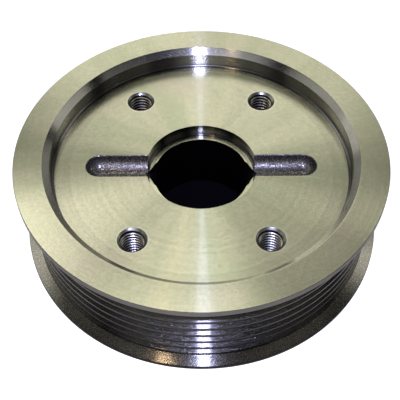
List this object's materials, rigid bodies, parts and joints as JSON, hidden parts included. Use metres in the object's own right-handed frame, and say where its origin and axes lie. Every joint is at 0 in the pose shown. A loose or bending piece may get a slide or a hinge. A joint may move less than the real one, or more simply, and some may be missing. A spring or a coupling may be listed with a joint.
{
  "type": "oil pump pulley",
  "caption": "Flanged poly-V belt pulley turned from one piece of steel, with a recessed bolting face, stepped centre bore, radial pin slots and tapped holes.",
  "frame": {"origin": "centre of the rear face, where the pulley's axis meets the plane it rests on", "axes": "+Z along the pulley's axis towards the recessed front face, +X along the two radial slots"},
  "size_m": [0.116, 0.116, 0.032],
  "materials": {
    "turned_steel": "bare turned steel, faint straw tint, concentric tool marks"
  },
  "bodies": {
    "root": {"pulley": "turned_steel"}
  },
  "joints": []
}
